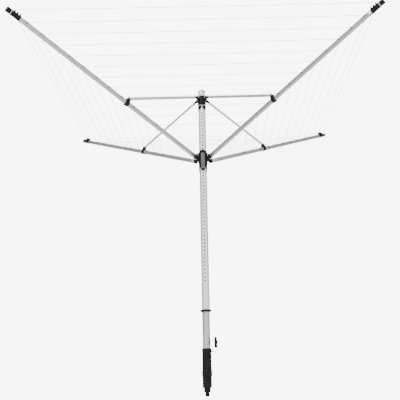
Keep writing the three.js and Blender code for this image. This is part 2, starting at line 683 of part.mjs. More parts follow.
function strutEnd() {
  const s = STRUT;
  const corner = s.width / 2 - s.flat;
  const eye = new THREE.Shape();
  eye.absarc(0, 0, s.eyeRadius, Math.PI / 2, 1.5 * Math.PI);
  eye.lineTo(s.blockStart + WELD, -s.height / 2);
  eye.lineTo(s.tongue, -s.height / 2);
  eye.lineTo(s.tongue, s.height / 2);
  eye.lineTo(s.blockStart + WELD, s.height / 2);
  eye.closePath();
  const block = sectionBar(s.width, s.height, corner, s.blockStart, s.endLength - GAP);
  const plug = sectionBar(s.width - 2 * s.wall - 2 * GAP, s.height - 2 * s.wall - 2 * GAP,
    corner - s.wall - GAP, s.blockStart + WELD, s.endLength + s.plug);
  const body = join(plate(eye, -s.width / 2, s.width / 2), block, plug);
  return cut(body, drill([0, -s.width, 0], [0, s.width, 0], PIN.radius + GAP));
}

// ---------------------------------------------------------------- lines
// A point given in an arm's own directions, as a point of the whole object.
function armPoint(azimuth, [along, across, height]) {
  const point = new THREE.Vector3(along, across, height);
  point.applyAxisAngle(new THREE.Vector3(0, 1, 0), -elevation);
  point.add(new THREE.Vector3(armPivot.radius, 0, armPivot.height));
  point.applyAxisAngle(new THREE.Vector3(0, 0, 1), radians(azimuth));
  return point;
}

// The lines of one side: straight runs between two neighbouring arms, joined inside both arms
// by the cord that gathers them.
function lineSet(azimuth) {
  const next = azimuth + 90;
  const inside = [[], []];
  const runs = [];
  for (let level = 0; level < LINE.count - 1; level += 1) {
    const from = armPoint(azimuth, [lineAlong(level), ARM.width / 2, lineHeight]);
    const to = armPoint(next, [lineAlong(level), -ARM.width / 2, lineHeight]);
    const reach = to.clone().sub(from).normalize().multiplyScalar(LINE.reach);
    from.sub(reach);
    to.add(reach);
    inside[0].push(from);
    inside[1].push(to);
    runs.push(bar(from.toArray(), to.toArray(), LINE.radius, 6));
  }
  const gathered = inside.map((ends) => {
    const first = ends[0];
    const last = ends.at(-1);
    const along = last.clone().sub(first).normalize().multiplyScalar(LINE.gathered);
    return bar(first.clone().sub(along).toArray(), last.clone().add(along).toArray(), LINE.gathered, 4);
  });
  return join(...gathered, ...runs);
}

// The outermost line: one closed square laid over the four end caps.
function outerLine() {
  const top = tubeCentre + ARM.height / 2 + TIP.grow + LINE.radius + GAP;
  const corners = Object.values(ARM_AZIMUTHS).sort((a, b) => a - b).map((azimuth) =>
    armPoint(azimuth, [lineAlong(LINE.count - 1), 0, top]));
  const sides = corners.map((corner, i) => {
    const next = corners[(i + 1) % corners.length];
    return bar(corner.toArray(), next.toArray(), LINE.radius, 6);
  });
  const knots = corners.map((corner) => {
    const knot = new THREE.SphereGeometry(LINE.radius, 8, 6);
    knot.translate(...corner.toArray());
    return solid(knot);
  });
  return join(...sides, ...knots);
}

// ---------------------------------------------------------------- assembly
const clothesline = new THREE.Group();
clothesline.add(groundSleeve(), lidParts(), ...footParts(), mastTube(), mastEndRing(), mastCap());
clothesline.add(topHub(), hubRing(), lowerHub(), gripLever(), leverPin(), lockParts(), lockSpring());

for (const [name, azimuth] of Object.entries(ARM_AZIMUTHS)) {
  const turn = new THREE.Group();
  turn.rotation.z = radians(azimuth);

  const arm = new THREE.Group();
  arm.position.set(armPivot.radius, 0, armPivot.height);
  arm.rotation.y = -elevation;
  const armWidth = ARM.width + 2 * CLAMP.wall;
  const forkHalf = rootFork / 2 + LOWER_HUB.cheek;
  arm.add(named(`arm_${name}`, armTube(), satinAluminium));
  arm.add(named(`arm_root_${name}`, armRoot(), blackPlastic));
  arm.add(named(`root_pin_${name}`, headedPin(0, 0, forkHalf), steel));
  arm.add(named(`end_cap_${name}`, endCap(), blackPlastic));
  arm.add(named(`strut_clamp_${name}`, strutClamp(), blackPlastic));
  arm.add(named(`clamp_pin_${name}`, headedPin(clampAlong, CLAMP.rise, armWidth / 2), steel));
  arm.add(named(`line_puller_${name}`, linePuller(), springSteel));

  const strut = new THREE.Group();
  strut.position.set(topPivot.radius, 0, topPivot.height);
  strut.rotation.y = strutSlope;
  const topHalf = strutFork / 2 + TOP_HUB.cheek;
  strut.add(named(`strut_${name}`, strutTube(), satinAluminium));
  strut.add(named(`strut_end_${name}`, strutEnd(), blackPlastic));
  strut.add(named(`top_pin_${name}`, headedPin(0, 0, topHalf), steel));

  turn.add(arm, strut);
  clothesline.add(turn);
}

const SIDES = { front: 225, right: 315, back: 45, left: 135 };
for (const [name, azimuth] of Object.entries(SIDES)) {
  clothesline.add(named(`line_set_${name}`, lineSet(azimuth), lineCord));
}
clothesline.add(named('outer_line', outerLine(), lineCord));

export default clothesline;
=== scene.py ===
"""Rotary clothesline with folding arms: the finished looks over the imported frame.

Metres, +Z up, origin on the mast axis at ground level, front towards -Y.
Each new piece is a numpy surface: a profile turned about an axis or carried along a path, or a
moulded copy of a plain solid. Every piece is left at the origin with its place in its mesh.
"""

import json
import math

import bmesh
import bpy
import numpy as np
from mathutils import Matrix, Vector


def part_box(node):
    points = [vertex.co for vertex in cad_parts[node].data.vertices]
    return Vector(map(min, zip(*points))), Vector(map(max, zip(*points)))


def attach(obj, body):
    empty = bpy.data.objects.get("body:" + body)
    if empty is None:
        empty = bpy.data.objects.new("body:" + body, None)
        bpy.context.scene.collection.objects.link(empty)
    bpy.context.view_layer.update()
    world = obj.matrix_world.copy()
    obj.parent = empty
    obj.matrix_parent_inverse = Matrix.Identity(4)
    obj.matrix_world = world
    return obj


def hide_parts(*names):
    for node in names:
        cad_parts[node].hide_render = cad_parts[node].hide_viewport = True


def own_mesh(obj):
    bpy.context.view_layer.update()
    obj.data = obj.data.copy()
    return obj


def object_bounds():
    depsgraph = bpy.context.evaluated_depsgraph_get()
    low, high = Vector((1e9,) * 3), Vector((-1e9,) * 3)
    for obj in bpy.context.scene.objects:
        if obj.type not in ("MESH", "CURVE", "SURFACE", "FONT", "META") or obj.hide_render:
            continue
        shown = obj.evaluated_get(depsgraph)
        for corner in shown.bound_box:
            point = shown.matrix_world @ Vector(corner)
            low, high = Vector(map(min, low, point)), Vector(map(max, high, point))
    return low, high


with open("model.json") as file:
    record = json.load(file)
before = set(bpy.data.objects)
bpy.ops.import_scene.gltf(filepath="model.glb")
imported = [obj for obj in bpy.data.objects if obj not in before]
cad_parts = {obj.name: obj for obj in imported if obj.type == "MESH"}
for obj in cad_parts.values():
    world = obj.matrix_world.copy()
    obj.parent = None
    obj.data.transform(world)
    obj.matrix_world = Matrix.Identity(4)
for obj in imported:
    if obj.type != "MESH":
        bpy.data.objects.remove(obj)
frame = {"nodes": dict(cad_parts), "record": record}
cad_box = [list(corner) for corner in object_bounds()]

# ---------------------------------------------------------------- driving dimensions, in metres
ARM_AZIMUTHS = {"front_left": 225, "front_right": 315, "back_right": 45, "back_left": 135}
ARM_ELEVATION = math.radians(21.3)
ARM_DROP = 0.014
ARM_SPAN = (0.017, 1.370)
ARM_SECTION = {"width": 0.018, "height": 0.027, "corner": 0.004, "wall": 0.0014}

LINE_COUNT = 12
LINE_FIRST = 0.360
LINE_PITCH = 0.097
LINE_RISE = 0.006
LINE_RADIUS = 0.0013
LINE_REACH = 0.006
LINE_SAG = 0.0025
EYELET_HOLE = 0.0034
CAP_SECTION = {"width": 0.019, "height": 0.028}
CAP_GROOVE_DEPTH = 0.003

MAST = {"radius": 0.024, "wall": 0.0012, "bottom": 0.213, "top": 1.656}
MAST_HOLES = {"radius": 0.005, "pitch": 0.023, "highest": 1.493, "lowest": 0.343}
MAST_SLOT_TOP = 0.318
FOOT_WALL = 0.0015

STRUT = {"half_width": 0.005, "half_height": 0.009, "eye": 0.0076, "end": 0.028,
         "press_start": 0.044, "press_run": 0.028}
PIN_SHANK, PIN_HEAD, PIN_HEAD_THICK = 3.4, 5.6, 1.6    # millimetres, as in the turned outlines
LOCK_HEIGHT = 1.171
SPRING = {"radius": 0.0048, "wire": 0.00045, "turns": 3}

BACKDROP = 8.0
FLOOR_GLARE = 1.5

MM = 0.001


def mm(numbers):
    """Millimetres as an array in metres."""
    return np.asarray(numbers, float) * MM


joints = {joint["name"]: joint for joint in frame["record"]["behaviour"]["joints"]}
FOLD_TRAVEL = -joints["fold"]["range_m"][0]
fold_ratios = {link["joint"]: link["ratio"] for link in frame["record"]["behaviour"]["couplings"]}


# ---------------------------------------------------------------- camera, floor and light
def place_camera():
    """Low in front of the mast and looking up: a view along +Y turned by heading, pitch and roll."""
    heading, pitch, roll = (math.radians(angle) for angle in (1.450, 20.105, -1.977))
    level = np.array([math.cos(heading), -math.sin(heading), 0.0])
    ahead = np.array([math.sin(heading), math.cos(heading), 0.0])
    upright = np.array([0.0, 0.0, 1.0])
    forward = math.cos(pitch) * ahead + math.sin(pitch) * upright
    lifted = -math.sin(pitch) * ahead + math.cos(pitch) * upright
    right = math.cos(roll) * level + math.sin(roll) * lifted
    up = -math.sin(roll) * level + math.cos(roll) * lifted
    data = bpy.data.cameras.new("camera")
    data.sensor_width = 36.0
    data.lens = 55.81
    data.shift_x = -0.07
    data.shift_y = -0.14
    camera = bpy.data.objects.new("camera", data)
    place = Matrix(np.column_stack([right, up, -forward]).tolist()).to_4x4()
    place.translation = (0.0699, -3.8410, -0.1293)
    camera.matrix_world = place
    bpy.context.scene.collection.objects.link(camera)
    bpy.context.scene.camera = camera


def add_soft_lamp(name, place, strength, spread, colour=(1.0, 1.0, 1.0)):
    """Lamp far away in the direction of place, as even as daylight and as soft as its spread in degrees."""
    data = bpy.data.lights.new(name, "SUN")
    data.energy = strength
    data.angle = math.radians(spread)
    data.color = colour
    lamp = bpy.data.objects.new(name, data)
    lamp.location = place
    lamp.rotation_euler = Vector(place).to_track_quat("Z", "Y").to_euler()
    bpy.context.scene.collection.objects.link(lamp)


def light_the_stage():
    """White surround for the camera, softer grey surround for the light, and four large lamps."""
    world = bpy.data.worlds.new("studio")
    bpy.context.scene.world = world
    world.use_nodes = True
    nodes, links = world.node_tree.nodes, world.node_tree.links
    nodes.clear()
    output = nodes.new("ShaderNodeOutputWorld")
    seen = nodes.new("ShaderNodeBackground")
    seen.inputs["Color"].default_value = (1.0, 1.0, 1.0, 1.0)
    seen.inputs["Strength"].default_value = BACKDROP
    soft = nodes.new("ShaderNodeBackground")
    soft.inputs["Color"].default_value = (0.86, 0.88, 0.9, 1.0)
    soft.inputs["Strength"].default_value = 0.42
    path = nodes.new("ShaderNodeLightPath")
    either = nodes.new("ShaderNodeMixShader")
    links.new(path.outputs["Is Camera Ray"], either.inputs[0])
    links.new(soft.outputs[0], either.inputs[1])
    links.new(seen.outputs[0], either.inputs[2])
    links.new(either.outputs[0], output.inputs["Surface"])
    add_soft_lamp("key", (-3.0, -4.0, 6.0), 3.6, 40)
    add_soft_lamp("fill", (4.5, -3.5, 2.2), 1.1, 60)
    add_soft_lamp("front", (-1.0, -6.0, 0.5), 1.1, 50)
    add_soft_lamp("back", (1.5, 4.5, 4.0), 1.4, 50)


def lay_floor():
    """Plain pale disc just under the ground sleeve's tip."""
    level = cad_box[0][2] - 0.001
    radius = 16.0
    angles = np.linspace(0, 2 * np.pi, 96, endpoint=False)
    points = np.column_stack([radius * np.cos(angles), radius * np.sin(angles), np.full(96, level)])
    mesh = bpy.data.meshes.new("floor")
    mesh.from_pydata(points.tolist(), [], [list(range(96))])
    floor = bpy.data.objects.new("floor", mesh)
    bpy.context.scene.collection.objects.link(floor)
    material = bpy.data.materials.new("pale_floor")
    material.use_nodes = True
    shader = material.node_tree.nodes["Principled BSDF"]
    shader.inputs["Base Color"].default_value = (0.9, 0.9, 0.9, 1.0)
    shader.inputs["Roughness"].default_value = 0.9
    shader.inputs["Specular IOR Level"].default_value = 0.0
    shader.inputs["Emission Color"].default_value = (1.0, 1.0, 1.0, 1.0)
    path = material.node_tree.nodes.new("ShaderNodeLightPath")
    glow = material.node_tree.nodes.new("ShaderNodeMath")
    glow.operation = "MULTIPLY"
    glow.inputs[1].default_value = BACKDROP - FLOOR_GLARE
    material.node_tree.links.new(path.outputs["Is Camera Ray"], glow.inputs[0])
    material.node_tree.links.new(glow.outputs[0], shader.inputs["Emission Strength"])
    mesh.materials.append(material)


# ---------------------------------------------------------------- shader effects
def new_group(name, inputs, outputs):
    """Empty shader group with its sockets; inputs map a name to (type, value), outputs to a type."""
    group = bpy.data.node_groups.new(name, "ShaderNodeTree")
    for label, (kind, value) in inputs.items():
        socket = group.interface.new_socket(label, in_out="INPUT", socket_type="NodeSocket" + kind)
        if value is not None:
            socket.default_value = value
    for label, kind in outputs.items():
        group.interface.new_socket(label, in_out="OUTPUT", socket_type="NodeSocket" + kind)
    return group


class Tree:
    """Short way to add and link the nodes of one tree."""

    def __init__(self, tree):
        """Keeps the node tree that the other calls add to."""
        self.tree = tree

    def add(self, kind, settings=None, **sockets):
        """New node; settings are its properties, sockets its inputs, a value or an output to link."""
        node = self.tree.nodes.new("ShaderNode" + kind)
        for label, value in (settings or {}).items():
            setattr(node, label, value)
        for label, value in sockets.items():
            self.feed(node.inputs[label.replace("_", " ")], value)
        return node

    def feed(self, socket, value):
        """A socket linked to another socket, or set to a value."""
        if isinstance(value, bpy.types.NodeSocket):
            self.tree.links.new(value, socket)
        else:
            socket.default_value = value

    def math(self, operation, first, second=0.0, clamp=False):
        """Result of one arithmetic step on two numbers."""
        node = self.tree.nodes.new("ShaderNodeMath")
        node.operation = operation
        node.use_clamp = clamp
        self.feed(node.inputs[0], first)
        self.feed(node.inputs[1], second)
        return node.outputs[0]

    def mix(self, share, low, high):
        """Colour between low at share 0 and high at share 1."""
        node = self.tree.nodes.new("ShaderNodeMix")
        node.data_type = "RGBA"
        self.feed(node.inputs[0], share)
        self.feed(node.inputs[6], low)
        self.feed(node.inputs[7], high)
        return node.outputs[2]

    def stretch(self, value, low, high, to_low=0.0, to_high=1.0):
        """The span from low to high stretched over to_low to to_high, and held there beyond it."""
        node = self.add("MapRange", {"clamp": True})
        for index, number in enumerate((value, low, high, to_low, to_high)):
            self.feed(node.inputs[index], number)
        return node.outputs[0]


def mottle_group():
    """Slow patches and fine specks of a second colour over a surface."""
    group = new_group(
        "mottle",
        {"Vector": ("Vector", None), "Colour": ("Color", (0.5, 0.5, 0.5, 1)),
         "Patches": ("Color", (0.4, 0.4, 0.4, 1)),
         "Size": ("Float", 8.0), "Amount": ("Float", 0.5)},
        {"Colour": "Color", "Mask": "Float"})
    t = Tree(group)
    start = group.nodes.new("NodeGroupInput").outputs
    end = group.nodes.new("NodeGroupOutput").inputs
    broad = t.add("TexNoise", {"noise_dimensions": "3D"}, Vector=start["Vector"], Scale=start["Size"],
                  Detail=4.0,
                  Roughness=0.6)
    fine = t.add("TexNoise", {"noise_dimensions": "3D"}, Vector=start["Vector"],
                 Scale=t.math("MULTIPLY", start["Size"], 9.0), Detail=3.0, Roughness=0.6)
    both = t.math("ADD", t.math("MULTIPLY", broad.outputs["Fac"], 0.7),
                  t.math("MULTIPLY", fine.outputs["Fac"], 0.3))
    mask = t.stretch(both, 0.36, 0.64)
    t.feed(end["Mask"], mask)
    t.feed(end["Colour"], t.mix(t.math("MULTIPLY", mask, start["Amount"]), start["Colour"], start["Patches"]))
    return group


def drawn_lines_group():
    """Fine lines along the second direction of the given vector, as on a drawn or extruded tube."""
    group = new_group(
        "drawn_lines",
        {"Vector": ("Vector", None), "Across": ("Float", 900.0), "Along": ("Float", 5.0)},
        {"Line": "Float"})
    t = Tree(group)
    start = group.nodes.new("NodeGroupInput").outputs
    end = group.nodes.new("NodeGroupOutput").inputs
    parts = t.add("SeparateXYZ", Vector=start["Vector"]).outputs
    spread = t.add("CombineXYZ", X=t.math("MULTIPLY", parts[0], start["Across"]),
                   Y=t.math("MULTIPLY", parts[1], start["Along"]), Z=0.0).outputs[0]
    noise = t.add("TexNoise", {"noise_dimensions": "2D"}, Vector=spread, Scale=1.0, Detail=5.0, Roughness=0.7)
    t.feed(end["Line"], t.stretch(noise.outputs["Fac"], 0.3, 0.7))
    return group


def grain_group():
    """Fine moulded grain with a few deeper pits."""
    group = new_group(
        "moulded_grain", {"Vector": ("Vector", None), "Size": ("Float", 700.0)},
        {"Height": "Float", "Pits": "Float"})
    t = Tree(group)
    start = group.nodes.new("NodeGroupInput").outputs
    end = group.nodes.new("NodeGroupOutput").inputs
    noise = t.add("TexNoise", {"noise_dimensions": "3D"}, Vector=start["Vector"], Scale=start["Size"],
                  Detail=3.0,
                  Roughness=0.55)
    cells = t.add("TexVoronoi", {"feature": "F1"}, Vector=start["Vector"],
                  Scale=t.math("MULTIPLY", start["Size"], 0.35))
    pits = t.stretch(cells.outputs["Distance"], 0.1, 0.5)
    t.feed(end["Height"],
           t.math("ADD", t.math("MULTIPLY", noise.outputs["Fac"], 0.6), t.math("MULTIPLY", pits, 0.4)))
    t.feed(end["Pits"], pits)
    return group


def worn_edge_group():
    """Mask of the edges that hands and neighbours rub, broken up by noise."""
    group = new_group(
        "worn_edge", {"Vector": ("Vector", None), "Radius": ("Float", 0.0015), "Amount": ("Float", 1.0)},
        {"Mask": "Float"})
    t = Tree(group)
    start = group.nodes.new("NodeGroupInput").outputs
    end = group.nodes.new("NodeGroupOutput").inputs
    rounded = t.add("Bevel", {"samples": 4}, Radius=start["Radius"])
    plain = t.add("NewGeometry")
    likeness = t.add("VectorMath", {"operation": "DOT_PRODUCT"})
    t.feed(likeness.inputs[0], rounded.outputs[0])
    t.feed(likeness.inputs[1], plain.outputs["Normal"])
    edge = t.stretch(likeness.outputs["Value"], 0.99, 0.82)
    noise = t.add("TexNoise", {"noise_dimensions": "3D"}, Vector=start["Vector"], Scale=160.0, Detail=4.0,
                  Roughness=0.65)
    broken = t.stretch(noise.outputs["Fac"], 0.4, 0.62)
    t.feed(end["Mask"], t.math("MULTIPLY", t.math("MULTIPLY", edge, broken), start["Amount"], clamp=True))
    return group


MOTTLE = mottle_group()
DRAWN_LINES = drawn_lines_group()
GRAIN = grain_group()
WORN_EDGE = worn_edge_group()


def new_material(name):
    """Material with one Principled shader, and its tree."""
    material = bpy.data.materials.new(name)
    material.use_nodes = True
    return material, Tree(material.node_tree), material.node_tree.nodes["Principled BSDF"]


def placed_group(tree, group, **sockets):
    """A shared effect placed in a material with its own values."""
    node = tree.add("Group", {"node_tree": group})
    for label, value in sockets.items():
        tree.feed(node.inputs[label.replace("_", " ")], value)
    return node.outputs


def drawn_aluminium(name, colour, patches, roughness, across=900.0, along=5.0, lines=0.5):
    """Satin anodised tube: drawn lines along it, faint patches, duller along the lines."""
    material, t, shader = new_material(name)
    place = t.add("TexCoord").outputs
    body = placed_group(t, MOTTLE, Vector=place["Object"], Colour=colour, Patches=patches, Size=6.0,
                        Amount=0.6)
    line = placed_group(t, DRAWN_LINES, Vector=place["UV"], Across=across, Along=along)["Line"]
    grime = placed_group(t, MOTTLE, Vector=place["Object"], Colour=(0, 0, 0, 1), Patches=(1, 1, 1, 1),
                         Size=34.0,
                         Amount=1.0)["Mask"]
    shade = t.mix(t.math("MULTIPLY", line, 0.22 * lines), body["Colour"],
                  tuple(0.72 * c for c in colour[:3]) + (1,))
    t.feed(shader.inputs["Base Color"], shade)
    t.feed(shader.inputs["Roughness"],
           t.math("ADD", t.math("ADD", roughness - 0.06, t.math("MULTIPLY", line, 0.1)),
                  t.math("MULTIPLY", grime, 0.06)))
    shader.inputs["Metallic"].default_value = 0.9
    bump = t.add("Bump", Strength=0.12, Distance=0.0002, Height=line)
    t.feed(shader.inputs["Normal"], bump.outputs[0])
    return material


def moulded_plastic(name, colour, roughness, wear, shine=0.1, wear_amount=0.5, grain=700.0, dust=0.012):
    """Moulded plastic: fine grain, slight patches, paler rubbed edges and a little dust."""
    material, t, shader = new_material(name)
    place = t.add("TexCoord").outputs["Object"]
    patches = tuple(min(1.0, 1.35 * c + 0.004) for c in colour[:3]) + (1,)
    body = placed_group(t, MOTTLE, Vector=place, Colour=colour, Patches=patches, Size=22.0, Amount=0.7)
    grain_out = placed_group(t, GRAIN, Vector=place, Size=grain)
    edge = placed_group(t, WORN_EDGE, Vector=place, Radius=0.0012, Amount=wear_amount)["Mask"]
    dusty = t.mix(t.math("MULTIPLY", body["Mask"], dust), body["Colour"], (0.3, 0.29, 0.27, 1))
    t.feed(shader.inputs["Base Color"], t.mix(edge, dusty, wear))
    t.feed(shader.inputs["Roughness"],
           t.math("ADD", t.math("ADD", roughness, t.math("MULTIPLY", body["Mask"], 0.08)),
                  t.math("MULTIPLY", grain_out["Pits"], -0.05)))
    shader.inputs["Specular IOR Level"].default_value = shine
    bump = t.add("Bump", Strength=0.22, Distance=0.00025, Height=grain_out["Height"])
    t.feed(shader.inputs["Normal"], bump.outputs[0])
    return material


def bright_steel(name, colour, roughness):
    """Zinc-plated steel: small bright flakes and a faint tarnish."""
    material, t, shader = new_material(name)
    place = t.add("TexCoord").outputs["Object"]
    body = placed_group(t, MOTTLE, Vector=place, Colour=colour, Patches=(0.42, 0.4, 0.36, 1), Size=120.0,
                        Amount=0.45)
    flakes = t.add("TexVoronoi", {"feature": "F1"}, Vector=place, Scale=900.0)
    t.feed(shader.inputs["Base Color"],
           t.mix(t.math("MULTIPLY", flakes.outputs["Distance"], 0.25), body["Colour"],
                                              (0.85, 0.86, 0.88, 1)))
    t.feed(shader.inputs["Roughness"], t.math("ADD", roughness, t.math("MULTIPLY", body["Mask"], 0.15)))
    shader.inputs["Metallic"].default_value = 1.0
    return material


def coated_line(name):
    """Plastic-coated line: a soft shine with the strands' twist showing through the coat."""
    material, t, shader = new_material(name)
    place = t.add("TexCoord").outputs
    body = placed_group(t, MOTTLE, Vector=place["Object"], Colour=(0.82, 0.82, 0.81, 1),
                        Patches=(0.7, 0.7, 0.68, 1),
                        Size=9.0, Amount=0.5)
    parts = t.add("SeparateXYZ", Vector=place["UV"]).outputs
    turn = t.math("ADD", t.math("MULTIPLY", parts[0], 3.0), t.math("MULTIPLY", parts[1], 140.0))
    twist = t.math("ABSOLUTE", t.math("SINE", t.math("MULTIPLY", turn, math.pi)))
    t.feed(shader.inputs["Base Color"], t.mix(t.math("MULTIPLY", t.math("SUBTRACT", 1.0, twist), 0.25),
                                              body["Colour"], (0.45, 0.45, 0.44, 1)))
    t.feed(shader.inputs["Roughness"], t.math("ADD", 0.42, t.math("MULTIPLY", body["Mask"], 0.12)))
    bump = t.add("Bump", Strength=0.3, Distance=0.0002, Height=twist)
    t.feed(shader.inputs["Normal"], bump.outputs[0])
    return material


SATIN_ALUMINIUM = drawn_aluminium("satin_aluminium", (0.56, 0.57, 0.585, 1), (0.5, 0.51, 0.525, 1), 0.4)
# The struts' copy of the satin aluminium is painted lighter than the arms' copy, painted light for the light
# that falls on the struts.
STRUT_ALUMINIUM_PAINTED_LIGHT = drawn_aluminium("strut_aluminium", (0.76, 0.77, 0.78, 1), (0.68, 0.69, 0.7, 1), 0.38)
# Inside of the tube walls: aluminium painted near black, painted shade for the dark inside of the mast and
# arm tubes.
TUBE_INSIDE_PAINTED_SHADE = drawn_aluminium("dull_aluminium", (0.02, 0.02, 0.021, 1), (0.012, 0.012, 0.013, 1), 0.7)
PALE_ALUMINIUM = drawn_aluminium("pale_aluminium", (0.93, 0.935, 0.94, 1), (0.85, 0.86, 0.87, 1), 0.45)
BLACK_PLASTIC = moulded_plastic("black_plastic", (0.007, 0.0072, 0.0078, 1), 0.46, (0.035, 0.035, 0.037, 1))
GREY_PLASTIC = moulded_plastic("grey_plastic", (0.1, 0.104, 0.11, 1), 0.42, (0.26, 0.26, 0.27, 1))
PALE_PLASTIC = moulded_plastic("pale_plastic", (0.66, 0.66, 0.64, 1), 0.5, (0.8, 0.8, 0.78, 1), shine=0.5)
SLEEVE_PLASTIC = moulded_plastic("sleeve_plastic", (0.006, 0.0062, 0.0066, 1), 0.4, (0.025, 0.025, 0.025, 1))
STEEL = bright_steel("zinc_steel", (0.62, 0.63, 0.65, 1), 0.26)
SPRING_STEEL = bright_steel("spring_steel", (0.42, 0.42, 0.43, 1), 0.32)
LINE_COATING = coated_line("coated_line")


# ---------------------------------------------------------------- mesh building
def body_of(node):
    """The body that a plain solid rides on."""
    return next(name for name, nodes in frame["record"]["behaviour"]["bodies"].items() if node in nodes)


def piece(name, points, faces, material, body, stands_for=(), slot=None, uv=None, sharp=35.0):
    """Object from points, faces and optional face-corner UVs, merged where points coincide, on a body."""
    mesh = bpy.data.meshes.new(name)
    mesh.from_pydata(np.asarray(points, float).reshape(-1, 3).tolist(), [], [list(face) for face in faces])
    if uv is not None:
        layer = mesh.uv_layers.new(name="surface")
        layer.data.foreach_set("uv", np.asarray(uv, np.float32).ravel())
    shape = bmesh.new()
    shape.from_mesh(mesh)
    bmesh.ops.remove_doubles(shape, verts=shape.verts, dist=1e-6)
    bmesh.ops.recalc_face_normals(shape, faces=shape.faces)
    shape.to_mesh(mesh)
    shape.free()
    mesh.shade_smooth()
    mesh.set_sharp_from_angle(angle=math.radians(sharp))
    mesh.materials.append(material)
    made = bpy.data.objects.new(name, mesh)
    bpy.context.scene.collection.objects.link(made)
    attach(made, body)
    if stands_for:
        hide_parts(*stands_for)
    return made


def joined(parts):
    """Points, faces and UVs of several (points, faces, uv) parts as one."""
    counts = np.cumsum([0] + [len(points) for points, _, _ in parts])
    points = np.concatenate([points for points, _, _ in parts])
    faces = [tuple(np.asarray(face) + start) for (_, some, _), start in zip(parts, counts) for face in some]
    return points, faces, np.concatenate([uv for _, _, uv in parts])


def grid(points, wrap_rows=False, wrap_columns=True, lengths=(1.0, 1.0), ends=False):
    """Quads over a (rows, columns, 3) array: corner (i, j) joins (i, j+1), (i+1, j+1) and (i+1, j).

    A wrapped direction closes on itself. UV runs from 0 to lengths over columns and rows. With ends,
    the first and last row are closed by one flat face each.
    """
    rows, columns = points.shape[:2]
    i, j = np.meshgrid(np.arange(rows - (not wrap_rows)), np.arange(columns - (not wrap_columns)),
                       indexing="ij")
    i, j = i.ravel(), j.ravel()
    down = np.stack([i, i, i + 1, i + 1], 1)
    over = np.stack([j, j + 1, j + 1, j], 1)
    faces = [tuple(face) for face in ((down % rows) * columns + over % columns).tolist()]
    steps = (columns - (not wrap_columns), rows - (not wrap_rows))
    uv = np.stack([over / steps[0] * lengths[0], down / steps[1] * lengths[1]], -1).reshape(-1, 2)
    if ends:
        first, last = list(range(columns))[::-1], [(rows - 1) * columns + k for k in range(columns)]
        faces += [tuple(first), tuple(last)]
        uv = np.concatenate([uv, np.zeros((2 * columns, 2))])
    return points.reshape(-1, 3), faces, uv


def softened(outline, radius, steps=4, closed=False):
    """Outline with its corners rounded: at each corner a parabola runs between the two points that
    lie radius back along its sides, or half a side where that is shorter."""
    outline = np.asarray(outline, float)
    before, after = np.roll(outline, 1, 0), np.roll(outline, -1, 0)
    back, ahead = before - outline, after - outline
    reach_back = np.linalg.norm(back, axis=1, keepdims=True)
    reach_ahead = np.linalg.norm(ahead, axis=1, keepdims=True)
    near = np.minimum(radius, np.minimum(reach_back, reach_ahead) * 0.49)
    t = np.linspace(0, 1, steps + 1)[None, :, None]
    start = (outline + back / np.maximum(reach_back, 1e-12) * near)[:, None]
    finish = (outline + ahead / np.maximum(reach_ahead, 1e-12) * near)[:, None]
    arcs = (1 - t) ** 2 * start + 2 * t * (1 - t) * outline[:, None] + t ** 2 * finish
    if closed:
        return arcs.reshape(-1, 2)
    return np.concatenate([outline[:1], arcs[1:-1].reshape(-1, 2), outline[-1:]])


def turned(outline, sides=72, closed=False):
    """Surface of revolution about Z: each outline point (r, z) goes round at radius r and height z."""
    outline = np.asarray(outline, float)
    angles = np.linspace(0, 2 * np.pi, sides, endpoint=False)
    r, z = outline[:, :1], outline[:, 1:]
    points = np.stack([r * np.cos(angles), r * np.sin(angles), z + 0 * angles], -1)
    span = np.linalg.norm(np.diff(outline, axis=0), axis=1).sum()
    return grid(points, wrap_rows=closed, lengths=(2 * np.pi * outline[:, 0].max(), span))


def rounded_rectangle(width, height, corner, steps=5):
    """Outline of a rectangle about the origin with quarter circles of the given radius at its corners."""
    angles = np.linspace(0, np.pi / 2, steps + 1)
    arc = corner * np.column_stack([np.cos(angles), np.sin(angles)])
    centre = np.array([width / 2 - corner, height / 2 - corner])
    signs = np.array([[1, 1], [-1, 1], [-1, -1], [1, -1]])
    turns = [arc, np.column_stack([-arc[::-1, 0], arc[::-1, 1]]), -arc,
             np.column_stack([arc[::-1, 0], -arc[::-1, 1]])]
    return np.concatenate([turn + centre * sign for turn, sign in zip(turns, signs)])


def carried(outline, path, side, scale=None, closed_path=False):
    """An outline carried along a path: at each path point its first coordinate runs along side, made
    square to the path, and its second along the cross product of the path's direction and side."""
    path = np.asarray(path, float)
    if closed_path:
        ahead = np.roll(path, -1, 0) - np.roll(path, 1, 0)
    else:
        ahead = np.gradient(path, axis=0)
    ahead /= np.linalg.norm(ahead, axis=1, keepdims=True)
    side = np.broadcast_to(np.asarray(side, float), path.shape)
    first = side - (side * ahead).sum(1, keepdims=True) * ahead
    first /= np.linalg.norm(first, axis=1, keepdims=True)
    second = np.cross(ahead, first)
    size = np.ones((len(path), 2)) if scale is None else np.asarray(scale, float)
    points = (path[:, None] + outline[None, :, :1] * size[:, None, :1] * first[:, None] +
              outline[None, :, 1:] * size[:, None, 1:] * second[:, None])
    around = np.linalg.norm(np.diff(np.vstack([outline, outline[:1]]), axis=0), axis=1).sum()
    along = np.linalg.norm(np.diff(path, axis=0), axis=1).sum()
    return grid(points, wrap_rows=closed_path, lengths=(around, along), ends=not closed_path)


def circle(radius, sides=12):
    """Outline of a circle: radius * (cos a, sin a) at even steps of the angle a."""
    angles = np.linspace(0, 2 * np.pi, sides, endpoint=False)
    return radius * np.column_stack([np.cos(angles), np.sin(angles)])


